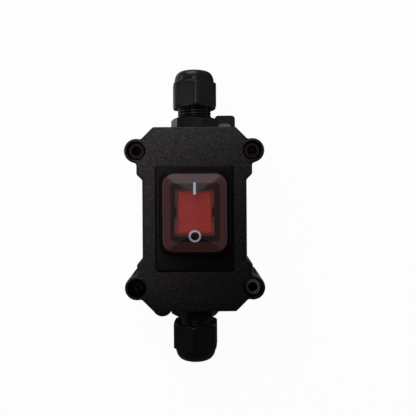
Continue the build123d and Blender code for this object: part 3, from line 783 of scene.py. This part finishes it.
def rounded_rectangle(width: float, length: float, corner: float, side: int, arc: int) -> np.ndarray:
    """Outline of a rounded rectangle about the origin, anticlockwise from the lower right corner's end.

    Each corner is a quarter circle about its inner point, and the next side follows it.

    Args:
        width: Size along x.
        length: Size along y.
        corner: Corner radius.
        side: Points along each side.
        arc: Points on each corner.

    Returns:
        Array of shape (4 * (side + arc), 2).
    """
    a, b = width / 2 - corner, length / 2 - corner
    centres = np.array([(a, b), (-a, b), (-a, -b), (a, -b)])
    turn = np.linspace(0, pi / 2, arc)
    arcs = [
        centres[k] + corner * np.stack([np.cos(turn + k * pi / 2), np.sin(turn + k * pi / 2)], axis=-1)
        for k in range(4)
    ]
    share = (np.arange(side) + 1)[:, None] / (side + 1)
    runs = [arcs[k][-1] + share * (arcs[(k + 1) % 4][0] - arcs[k][-1]) for k in range(4)]
    return np.concatenate([np.concatenate([arcs[k], runs[k]]) for k in range(4)])


def dress(piece: bpy.types.Object, finish: Finish, body: str, slot: str, *stands_for: str) -> bpy.types.Object:
    """Gives a new piece its finish and ties it to the frame.

    Args:
        piece: The object.
        finish: Its finish.
        body: CAD body that it rides on.
        slot: The record's material slot; not used.
        stands_for: CAD nodes that it replaces.

    Returns:
        The piece.
    """
    piece.data.materials.clear()
    piece.data.materials.append(material_of(finish))
    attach(piece, body)
    if stands_for:
        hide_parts(*stands_for)
    log_of_pieces.info("%s: %d faces on %s", piece.name, len(piece.data.polygons), body)
    return piece


@dataclass
class Frame:
    """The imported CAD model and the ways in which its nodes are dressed."""

    nodes: dict[str, bpy.types.Object]
    bodies: dict[str, str]

    @classmethod
    def load(cls) -> "Frame":
        """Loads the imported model.

        Returns:
            The model's nodes and the body of each.
        """
        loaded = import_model()
        groups = loaded["record"]["behaviour"]["bodies"]
        return cls(loaded["nodes"], {node: body for body, nodes in groups.items() for node in nodes})

    def paint(self, node: str, finish: Finish) -> None:
        """Gives a CAD node a finish and leaves its mesh as it is.

        Args:
            node: The CAD node.
            finish: Its finish.
        """
        mesh = self.nodes[node].data
        mesh.materials.clear()
        mesh.materials.append(material_of(finish))
        log_of_pieces.info("%s: CAD mesh painted %s", node, finish.name)

    def skin(self, node: str, finish: Finish, slot: str, bevel: float, segments: int = 2) -> bpy.types.Object:
        """A merged copy of a CAD node with softened edges, in place of the node.

        Args:
            node: The CAD node.
            finish: Finish of the copy.
            slot: The record's material slot.
            bevel: Width of the softened edges, in millimetres.
            segments: Steps across a softened edge.

        Returns:
            The copy.
        """
        mesh = self.nodes[node].data.copy()
        mesh.name = f"{node}_skin"
        tidy(mesh, 30.0, False, True)
        piece = bpy.data.objects.new(f"{node}_skin", mesh)
        bpy.context.scene.collection.objects.link(piece)
        soften = piece.modifiers.new("soft_edges", "BEVEL")
        soften.width = bevel * MM
        soften.segments = segments
        soften.limit_method = "ANGLE"
        soften.angle_limit = radians(CREASE_ANGLE)
        soften.miter_outer = "MITER_ARC"
        soften.harden_normals = True
        return dress(piece, finish, self.bodies[node], slot, node)


# ---------------------------------------------------------------------------------------------------------------
# Sub-assemblies
# ---------------------------------------------------------------------------------------------------------------


@dataclass
class Enclosure:
    """Base and cover with gasket, cover screws and inserts."""

    pad: Patch = Patch((0.0, 0.6), (42.2, 56.8), 2.6)
    edge: float = 0.22
    screw_edge: float = 0.12
    case: MouldedPlastic = MouldedPlastic(
        "black_case", warm=(0.0018, 0.001, 0.0008), cool=(0.0005, 0.0005, 0.0007), roughness=0.36, gloss=0.15,
        grain_size=0.62, grain_depth=0.05, shine=0.36,
    )
    cover: MouldedPlastic = MouldedPlastic(
        "black_cover", warm=(0.0018, 0.001, 0.0008), cool=(0.0005, 0.0005, 0.0007), roughness=0.36, gloss=0.12,
        grain_size=0.62, grain_depth=0.05, shine=0.75, smooth_patch=pad,
    )
    # The screws' finish paints shade into their sockets and a highlight on the lower right head.
    screw: Metal = Metal(
        "screw_steel", (0.03, 0.029, 0.028), (0.036, 0.028, 0.024), roughness=0.42, socket_place=(30.55, 36.1),
        head_highlight=Patch((32.6, -35.3), (9.0, 9.0), 4.5, 4.0), darker_head=Patch((-30.55, -36.1), (12.0, 12.0), 5.0),
    )
    brass: Metal = Metal("insert_brass", (0.72, 0.55, 0.28), (0.42, 0.26, 0.12), roughness=0.35)

    def build(self, frame: Frame) -> None:
        """Dresses the enclosure.

        Args:
            frame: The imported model.
        """
        frame.skin("base", self.case, "black_case", self.edge)
        frame.skin("cover", self.cover, "black_case", self.edge)
        frame.skin("cover_screws", self.screw, "screw_steel", self.screw_edge)
        frame.paint("cover_gasket", Rubber())
        frame.paint("screw_inserts", self.brass)


@dataclass
class Boot:
    """Clear boot with a hipped roof, and the marks printed on it.

    The hollow is width, length and corner; the bar is its place along the boot, width and length; and the ring is its
    place along the boot, outer and inner diameter.
    """

    centre: tuple[float, float] = (0.2, 3.8)
    width: float = 32.6
    length: float = 40.0
    corner: float = 5.8
    seat: float = 42.4
    eave: float = 47.0
    rise: float = 2.56
    hip: float = 10.3
    ridge_width: float = 0.6
    ceiling: float = 46.6
    hollow: tuple[float, float, float] = (26.0, 31.2, 2.2)
    edge: float = 0.7
    hip_softness: float = 20.0
    print_height: float = 0.05
    bar: tuple[float, float, float] = (12.45, 1.3, 6.15)
    ring: tuple[float, float, float] = (-11.5, 6.25, 4.25)
    bar_corner: float = 0.2
    side_points: int = 28
    corner_points: int = 14
    eave_inset: float = 1.2
    skin: ClearSkin = ClearSkin(
        "clear_boot", window=Patch((0.3, 4.0), (25.3, 29.8), 2.2, 0.6), rim=(0.069, 0.0295, 0.0275),
        rim_dark=(0.0495, 0.0195, 0.019), rim_lower_shade=(0.043, 0.017, 0.016),
        eaves=Patch((0.2, 3.8), (32.6, 40.0), 5.8), runs=(16.0, 10.3),
    )
    ink: PlainCoat = PlainCoat("printed_ink", (0.4, 0.38, 0.445), (0.36, 0.34, 0.41), roughness=0.5)

    def roof(self, x: np.ndarray, y: np.ndarray) -> np.ndarray:
        """Height of the roof over places measured from the boot's centre.

        The roof is the softened least of four planes that rise inwards from the eaves and of the level ridge. The
        softened least of heights h is -log(sum of exp(-k h)) / k.

        Args:
            x: Places across.
            y: Places along.

        Returns:
            Heights in the part's frame.
        """
        k = self.hip_softness
        side = (self.width / 2 - np.abs(x)) / (self.width / 2 - self.ridge_width / 2)
        end = (self.length / 2 - np.abs(y)) / self.hip
        heights = np.stack([side, end, np.ones_like(side)]) * self.rise
        low = heights.min(axis=0)
        soft = low - np.log(np.exp(-k * (heights - low)).sum(axis=0)) / k
        return self.eave + soft

    def shell(self) -> bpy.types.Object:
        """The boot as one closed shell.

        Loops of one outline follow each other: out from the ceiling's middle to the hollow's wall, down to the seat,
        out to the edge, up the side, over a rounded eave and up the roof to its ridge. Inside the eave, a loop lies
        on straight lines from the outline to the ridge, at its inset's share of the run up the roof's sides. On the
        rounded eave the inset of turn t is edge * (1 - cos(t)), and the drop is that of a quarter circle.

        Returns:
            The shell.
        """
        outer = rounded_rectangle(self.width, self.length, self.corner, self.side_points, self.corner_points)
        inner = rounded_rectangle(*self.hollow, self.side_points, self.corner_points)
        half = self.length / 2 - self.hip
        run = (self.width - self.ridge_width) / 2
        ridge = np.stack([np.zeros(len(outer)), np.clip(outer[:, 1], -half, half)], axis=-1)

        def level(outline: np.ndarray, z: np.ndarray | float) -> np.ndarray:
            """The outline as a loop of points at height z."""
            return np.column_stack([outline, np.broadcast_to(z, len(outline))])

        loops = [level(ridge + (inner - ridge) * share, self.ceiling) for share in np.linspace(0, 1, 12)]
        loops += [level(inner, self.seat), level(outer, self.seat)]
        top = self.roof(outer[:, 0], outer[:, 1])
        loops += [level(outer, self.seat + (top - self.edge - self.seat) * share) for share in (0.5, 1.0)]
        eave = self.edge * (1 - np.cos(np.linspace(0.2, pi / 2, 7)))
        reach = np.linalg.norm(ridge - outer, axis=1)[:, None]
        for inset in np.concatenate([eave, np.linspace(self.eave_inset, run, 36)]):
            outline = outer + (ridge - outer) * np.minimum(inset / reach, inset / run)
            if inset > self.edge:
                outline = outer + (ridge - outer) * (inset / run)
            drop = self.edge - np.sqrt(max(self.edge**2 - max(self.edge - inset, 0.0) ** 2, 0.0))
            loops.append(level(outline, self.roof(outline[:, 0], outline[:, 1]) - drop))
        points = np.stack(loops)
        points[..., :2] += self.centre
        return sheet("boot_shell", points, Close.ROUND, 50.0)

    def printed(self, name: str, outline: np.ndarray) -> bpy.types.Object:
        """A thin printed layer that lies on the roof.

        Args:
            name: Name of the piece.
            outline: Array of shape (rows, columns, 2): a closed band whose columns run round it and whose rows cross
                it, as places from the boot's centre.

        Returns:
            The piece: upper surface at print_height over the roof, lower surface just under the roof.
        """
        x, y = outline[..., 0], outline[..., 1]
        z = self.roof(x, y)
        points = np.concatenate(
            [
                np.stack([x, y, z + self.print_height], axis=-1),
                np.stack([x, y, z - self.print_height], axis=-1)[::-1],
            ]
        )
        points[..., :2] += self.centre
        return sheet(name, points, Close.BOTH, 35.0)

    def build(self, frame: Frame) -> None:
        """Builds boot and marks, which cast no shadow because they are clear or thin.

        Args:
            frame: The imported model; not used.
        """
        shell = dress(self.shell(), self.skin, "box", "clear_boot", "boot")
        place, width, length = self.bar
        edge = rounded_rectangle(width, length, self.bar_corner, 10, 4)
        share = np.linspace(0.02, 1, 6)[:, None, None]
        bar = edge[None] * share + np.array([0.0, place])
        on = dress(self.printed("mark_on", bar), self.ink, "box", "clear_boot")
        place, outside, inside = self.ring
        turn = np.linspace(0, 2 * pi, 96, endpoint=False)
        radius = np.linspace(inside / 2, outside / 2, 6)[:, None]
        ring = np.stack([radius * np.cos(turn), radius * np.sin(turn) + place], axis=-1)
        off = dress(self.printed("mark_off", ring), self.ink, "box", "clear_boot")
        for piece in (shell, on, off):
            piece.visible_shadow = False


@dataclass
class Switch:
    """Switch housing, rocker and the works inside it."""

    pivot: tuple[float, float, float] = (0.0, 3.4, 38.6)
    tilt: float = 7.0
    rise: float = 5.85
    window: tuple[float, float] = (16.3, 20.8)
    rib_pitch: float = 1.0
    rib_height: float = 0.22
    rib_roundness: float = 0.7
    cross_share: float = 0.75
    rib_margin: float = 0.3
    rib_root: float = -0.02
    edge: float = 0.16
    lens_edge: float = 0.08
    plastic: MouldedPlastic = MouldedPlastic(
        "black_switch", warm=(0.0025, 0.0021, 0.0021), cool=(0.0016, 0.0016, 0.0016), roughness=0.26, gloss=0.08,
        grain_size=0.5, grain_depth=0.003,
    )
    smoked: MouldedPlastic = MouldedPlastic(
        "smoked_carrier", warm=(0.12, 0.046, 0.046), cool=(0.1, 0.04, 0.041), roughness=0.3, gloss=0.2,
        grain_size=0.5, grain_depth=0.003,
    )
    red: RedLens = RedLens(
        "red_lens", window=Patch((0.15, 4.1), (16.6, 21.1), 0.4, 0.4), bright=(0.41, 0.0262, 0.0165),
        dark=(0.135, 0.018, 0.018),
    )
    brass: Metal = Metal("terminal_brass", (0.72, 0.55, 0.28), (0.45, 0.3, 0.14), roughness=0.3)
    wire: Metal = Metal("spring_wire", (0.6, 0.6, 0.6), (0.42, 0.41, 0.4), roughness=0.28)
    glass: PlainCoat = PlainCoat("lamp_glass", (0.8, 0.72, 0.66), (0.7, 0.6, 0.52), roughness=0.12)
    ceramic: PlainCoat = PlainCoat("resistor_coat", (0.62, 0.52, 0.38), (0.54, 0.43, 0.3), roughness=0.5)

    def lens_ribs(self) -> bpy.types.Object:
        """The fine ribbed face of the window.

        A slab on the tilted plane of the rocker whose upper face is raised in a lattice: height is the larger of two
        rounded wave trains, one along and a lower one across, that fall to nothing at the window's edge.

        Returns:
            The slab, closed below.
        """
        width, length = self.window
        across = np.linspace(-width / 2, width / 2, 134)
        along = np.linspace(-length / 2, length / 2, 173)
        u, v = np.meshgrid(across, along, indexing="ij")
        waves = np.maximum(
            np.abs(np.sin(pi * v / self.rib_pitch)) ** self.rib_roundness,
            self.cross_share * np.abs(np.sin(pi * u / self.rib_pitch)) ** self.rib_roundness,
        )
        margin = np.minimum(width / 2 - np.abs(u), length / 2 - np.abs(v))
        height = self.rib_height * waves * np.clip(margin / self.rib_margin, 0, 1)
        turn = radians(self.tilt)
        level = self.rise + np.stack([height, np.full_like(height, self.rib_root)])
        u, v = np.broadcast_to(u, level.shape), np.broadcast_to(v, level.shape)
        points = np.stack(
            [
                self.pivot[0] + u,
                self.pivot[1] + v * cos(turn) + level * sin(turn),
                self.pivot[2] - v * sin(turn) + level * cos(turn),
            ],
            axis=-1,
        )
        closed = np.concatenate([points[0], points[1][::-1]])
        return sheet("lens_ribs", np.concatenate([closed, closed[:1]]), Close.NONE, 60.0)

    def build(self, frame: Frame) -> None:
        """Dresses the switch.

        Args:
            frame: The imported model.
        """
        frame.skin("switch_housing", self.plastic, "black_switch", self.edge)
        frame.skin("rocker_button", self.red, "red_lens", self.lens_edge)
        dress(self.lens_ribs(), self.red, "rocker", "red_lens")
        frame.paint("rocker_carrier", self.smoked)
        frame.paint("plungers", self.plastic)
        frame.paint("plunger_springs", self.wire)
        frame.paint("contact_bridges", self.brass)
        frame.paint("common_terminals", self.brass)
        frame.paint("line_terminals", self.brass)
        frame.paint("switch_gasket", Rubber())
        frame.paint("lamp", self.glass)
        frame.paint("resistor", self.ceramic)


@dataclass
class Gland:
    """One cable gland: hexagon body, thread on its neck, and dome nut. Lengths run outwards from the end wall."""

    name: str
    side: int
    nut_start: float
    nut_corner: float
    wall_y: float = 48.6
    axis_z: float = 14.5
    flats: float = 24.0
    hex_end: float = 7.4
    neck_length: float = 10.0
    neck_radius: float = 9.0
    crest_radius: float = 9.5
    pitch: float = 1.5
    nut_length: float = 21.0
    nut_hex: float = 14.6
    nut_chamfer: float = 1.1
    nut_shoulder: float = 0.9
    dome_radius: float = 11.4
    tip_radius: float = 7.3
    mouth_radius: float = 6.5
    fillet: float = 3.0
    edge_sharpness: float = 24.0
    bore_radius: float = 9.65
    bore_mouth: float = 10.6
    bore_end: float = 8.5
    cavity_radius: float = 9.3
    cone: Span = (13.0, 19.0)
    dome_step: float = 0.25
    dome_foot: Span = (0.12, 0.16)
    face_step: float = 0.5
    hex_clear: float = 0.4
    lip: float = 0.3
    lip_drop: Span = (0.05, 0.35)
    thread_fade: float = 0.8
    thread_lift: float = 0.02
    thread_sink: float = 0.3
    ridge_fullness: float = 1.35
    ridge_roundness: float = 1.3
    body_edge: float = 0.25
    nylon: MouldedPlastic = MouldedPlastic(
        "black_gland", warm=(0.0032, 0.003, 0.0029), cool=(0.0024, 0.0024, 0.0025), roughness=0.25, grain_size=0.5,
        grain_depth=0.004, mottle_size=2.0,
    )

    def place(self, length: np.ndarray, turn: np.ndarray, radius: np.ndarray) -> np.ndarray:
        """Points of the part's frame from a length along the gland, a turn from the front and a radius.

        The point is (radius * sin(turn) * side, side * (wall + length), axis + radius * cos(turn)).

        Args:
            length: Lengths outwards from the end wall.
            turn: Angles from the front, in radians.
            radius: Radii about the gland's axis.

        Returns:
            Array with a last axis of 3.
        """
        length, turn, radius = np.broadcast_arrays(length, turn, radius)
        return np.stack(
            [
                self.side * radius * np.sin(turn),
                self.side * (self.wall_y + length),
                self.axis_z + radius * np.cos(turn),
            ],
            axis=-1,
        )

    def hexagon(self, turn: np.ndarray, corner: float) -> np.ndarray:
        """Radius of a hexagon with filleted corners.

        With a the angle to the nearest corner, the radius is half the flats over cos(30 degrees - a). Close to a
        corner it is that of a circle of the fillet's radius r that touches both flats, whose centre lies c from the
        axis: c cos(a) + sqrt(r^2 - c^2 sin(a)^2).

        Args:
            turn: Angles from the front, in radians.
            corner: Angle of one corner from the front, in degrees.

        Returns:
            Radii.
        """
        away = np.abs((turn - radians(corner) + pi / 6) % (pi / 3) - pi / 6)
        flat = self.flats / 2 / np.cos(pi / 6 - away)
        centre = (self.flats / 2 - self.fillet) / cos(pi / 6)
        touch = np.arctan2(self.fillet / 2, centre + self.fillet * cos(pi / 6))
        inside = np.sqrt(np.clip(self.fillet**2 - (centre * np.sin(away)) ** 2, 0, None))
        return np.where(away < touch, centre * np.cos(away) + inside, flat)

    def turns(self, corner: float) -> np.ndarray:
        """Angles round a hexagon, close together at its corners.

        Args:
            corner: Angle of one corner from the front, in degrees.

        Returns:
            Angles in radians, without the last one that closes the round.
        """
        step = np.array([0, 0.7, 1.5, 2.3, 3.2, 4.2, 5.3, 6.6, 8, 12, 18, 24])
        sector = np.concatenate([step, 60 - step[:0:-1], [30]])
        return np.radians(corner + np.sort((sector + 60 * np.arange(6)[:, None]).ravel()))

    def nut(self) -> bpy.types.Object:
        """The dome nut as one closed shell.

        The outer radius is the softened least of the hexagon and of a turned profile: chamfer, straight, shoulder and
        an arc to the tip. The softened least of radii r is (sum of r^-q)^(-1/q). The inner wall is turned: mouth,
        cone, cavity and bore. Both are rows of one closed grid, each with its length, radius and whether it is outer.

        Returns:
            The nut.
        """
        full = self.flats / 2 / cos(radians(30))
        chamfer, shoulder, mouth = self.nut_chamfer, self.nut_shoulder, self.mouth_radius
        start = self.nut_hex - shoulder
        span = self.nut_length - self.nut_hex - self.dome_step
        drop = self.dome_radius - self.tip_radius
        rows = [(0.0, self.bore_radius, 0), (0.0, self.bore_mouth, 0), (0.0, full - chamfer - self.face_step, 1)]
        rows += [(t * chamfer, full - chamfer * (1 - t), 1) for t in np.linspace(0, 1, 10)]
        rows += [(chamfer + (start - chamfer) * t, full + self.hex_clear, 1) for t in np.linspace(0.08, 1, 12)]
        rows += [(start + shoulder * t, full + (self.flats / 2 - full) * t, 1) for t in np.linspace(0.1, 1, 12)]
        rows += [(self.nut_hex + self.dome_foot[0], self.dome_radius + self.dome_foot[1], 1)]
        rows += [
            (self.nut_hex + self.dome_step + span * sin(t), self.dome_radius - drop * (1 - cos(t)), 1)
            for t in np.linspace(0, 1, 22) * pi / 2
        ]
        rows += [(self.nut_length, self.tip_radius - self.lip, 0)]
        rows += [(self.nut_length - self.lip_drop[0], mouth + self.lip, 0)]
        rows += [(self.nut_length - self.lip_drop[1], mouth, 0), (self.cone[1], mouth, 0)]
        rows += [(at, self.cavity_radius, 0) for at in (self.cone[0], self.bore_end)]
        rows += [(self.bore_end, self.bore_radius, 0)]
        length, turned, outer = (np.array(column, float)[:, None] for column in zip(*rows))
        turn = self.turns(self.nut_corner)[None, :]
        q = self.edge_sharpness
        soft = (self.hexagon(turn, self.nut_corner) ** -q + turned**-q) ** (-1 / q)
        radius = np.where(outer > 0, soft, turned)
        return sheet(f"{self.name}_nut_shell", self.place(self.nut_start + length, turn, radius), Close.BOTH, 30.0)

    def thread(self) -> bpy.types.Object:
        """The thread round the neck.

        Radius is the root plus the thread depth times a rounded ridge of the phase (length / pitch - turn / full
        turn), and falls to the root at both ends.

        Returns:
            The threaded sleeve, closed on the neck.
        """
        turn = np.linspace(0, 2 * pi, 120, endpoint=False)[None, :]
        length = np.linspace(0, self.neck_length, 161)[:, None]
        phase = (length / self.pitch - turn / (2 * pi)) % 1.0
        ridge = np.clip(self.ridge_fullness * (1 - np.abs(2 * phase - 1) ** self.ridge_roundness), 0, 1)
        fade = np.clip(np.minimum(length, self.neck_length - length) / self.thread_fade, 0, 1)
        root = self.neck_radius + self.thread_lift
        radius = root + (self.crest_radius - root) * ridge * fade
        outer = self.place(self.hex_end + length, turn, radius)
        inner = self.place(self.hex_end + length, turn, np.full_like(radius, self.neck_radius - self.thread_sink))
        return sheet(f"{self.name}_thread", np.concatenate([outer, inner[::-1]]), Close.BOTH, 60.0)

    def build(self, frame: Frame) -> None:
        """Dresses the gland.

        Args:
            frame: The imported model.
        """
        frame.skin(f"{self.name}_gland_body", self.nylon, "black_gland", self.body_edge)
        dress(self.thread(), self.nylon, "box", "black_gland")
        dress(self.nut(), self.nylon, f"{self.name}_nut", "black_gland", f"{self.name}_dome_nut")
        frame.paint(f"{self.name}_lock_nut", self.nylon)
        frame.paint(f"{self.name}_gland_washer", Rubber())
        frame.paint(f"{self.name}_gland_seal", Rubber())


# ---------------------------------------------------------------------------------------------------------------
# Studio
# ---------------------------------------------------------------------------------------------------------------


WARM_LIGHT: Colour = (1.1, 0.97, 0.93)
COOL_LIGHT: Colour = (0.88, 0.97, 1.08)
SKY_LIGHT: Colour = (0.76, 0.98, 1.22)
ROSE_LIGHT: Colour = (1.04, 0.98, 1.0)


@dataclass(frozen=True)
class Panel:
    """A soft light panel that faces the box: azimuth from +Y towards +X, elevation above the floor."""

    name: str
    azimuth: float
    elevation: float
    distance: float
    size: tuple[float, float]
    radiance: float
    colour: Colour = (1.0, 1.0, 1.0)
    target: tuple[float, float, float] = (0.0, 10.0, 35.0)
    mirrored: bool = True

    def build(self) -> None:
        """Adds the lamp: its power is radiance times pi times its area."""
        turn, rise = radians(self.azimuth), radians(self.elevation)
        towards = Vector((sin(turn) * cos(rise), cos(turn) * cos(rise), sin(rise)))
        light = bpy.data.lights.new(self.name, "AREA")
        light.shape = "RECTANGLE"
        light.size, light.size_y = (side * MM for side in self.size)
        light.energy = self.radiance * pi * light.size * light.size_y
        light.color = self.colour
        lamp = bpy.data.objects.new(self.name, light)
        lamp.location = (Vector(self.target) + towards * self.distance) * MM
        lamp.rotation_euler = (-towards).to_track_quat("-Z", "Y").to_euler()
        lamp.visible_camera = False
        lamp.visible_glossy = self.mirrored
        bpy.context.scene.collection.objects.link(lamp)
        log_of_pieces.info("lamp %s", self.name)


@dataclass
class Studio:
    """Floor with curved backdrop, light and camera."""

    camera: tuple[float, float, float] = (2.84, 17.9, 288.0)
    focal_pixels: float = 476.9
    frame_pixels: float = 416.0
    foot: tuple[float, float] = (199.77, 185.11)
    roll: float = 0.4
    surround: Colour = (0.012, 0.012, 0.013)
    floor_radius: float = 900.0
    bend_radius: float = 500.0
    wall_top: float = 1600.0
    floor_sink: float = 0.1
    panels: list[Panel] = field(
        default_factory=lambda: [
            Panel("overhead", -30, 43, 800, (900, 700), 2.85, mirrored=False),
            Panel("key", -42, 71, 600, (190, 126), 1.2, WARM_LIGHT),
            Panel("strip", -95, 77, 600, (320, 60), 1.9, WARM_LIGHT),
            Panel("crest", 18, 75, 600, (220, 90), 0.85, WARM_LIGHT),
            Panel("shoulder", 58, 66, 600, (180, 110), 0.6),
            Panel("window", 0, 59, 700, (310, 170), 1.3, COOL_LIGHT),
            Panel("skyline", -10, 12, 700, (420, 300), 2.0, SKY_LIGHT),
            Panel("left", -80, 41, 700, (250, 130), 0.45, ROSE_LIGHT),
            Panel("left_low", -66, 7, 700, (420, 150), 1.2),
            Panel("right_high", 72, 42, 700, (220, 330), 0.2, ROSE_LIGHT),
        ]
    )

    def backdrop(self) -> bpy.types.Object:
        """Floor disc that curves up into a wall all round: a profile of radius and height turned about z.

        Returns:
            Floor and wall in one piece, just under the back of the box.
        """
        bend = np.linspace(0, pi / 2, 12)
        rim = self.floor_radius + self.bend_radius * np.sin(bend)
        radius = np.concatenate([[0.0, 400.0, self.floor_radius], rim, rim[-1:]])
        height = np.concatenate([[0.0, 0.0, 0.0], self.bend_radius * (1 - np.cos(bend)), [self.wall_top]])
        height = height - self.floor_sink
        turn = np.linspace(0, 2 * pi, 96, endpoint=False)[None, :]
        points = np.stack(
            np.broadcast_arrays(radius[:, None] * np.cos(turn), radius[:, None] * np.sin(turn), height[:, None]),
            axis=-1,
        )
        return sheet("studio_floor", points, Close.ROUND, 60.0)

    def build(self) -> None:
        """Builds floor, world, lamps and camera."""
        floor = self.backdrop()
        floor.data.materials.append(material_of(StudioPaper()))
        world = bpy.data.worlds.new("studio")
        world.use_nodes = True
        world.node_tree.nodes["Background"].inputs["Color"].default_value = (*self.surround, 1.0)
        bpy.context.scene.world = world
        for panel in self.panels:
            panel.build()
        lens = bpy.data.cameras.new("camera")
        lens.sensor_width = 36.0
        lens.lens = self.focal_pixels * lens.sensor_width / self.frame_pixels
        lens.shift_x = (self.frame_pixels / 2 - self.foot[0]) / self.frame_pixels
        lens.shift_y = (self.foot[1] - self.frame_pixels / 2) / self.frame_pixels
        lens.clip_start, lens.clip_end = 0.01, 20.0
        camera = bpy.data.objects.new("camera", lens)
        camera.location = Vector(self.camera) * MM
        camera.rotation_euler = Euler((0.0, 0.0, radians(-self.roll)))
        bpy.context.scene.collection.objects.link(camera)
        bpy.context.scene.camera = camera
        bpy.context.scene.view_settings.view_transform = "Standard"


def main() -> None:
    """Builds the frame, the sub-assemblies and the studio."""
    logging.basicConfig(level=logging.INFO, format="%(name)s: %(message)s")
    frame = Frame.load()
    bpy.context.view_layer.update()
    Enclosure().build(frame)
    Switch().build(frame)
    Boot().build(frame)
    Gland("upper", 1, 12.8, 6.0).build(frame)
    Gland("lower", -1, 11.1, 5.0, edge_sharpness=70.0).build(frame)
    Studio().build()


if __name__ == "__main__":
    main()
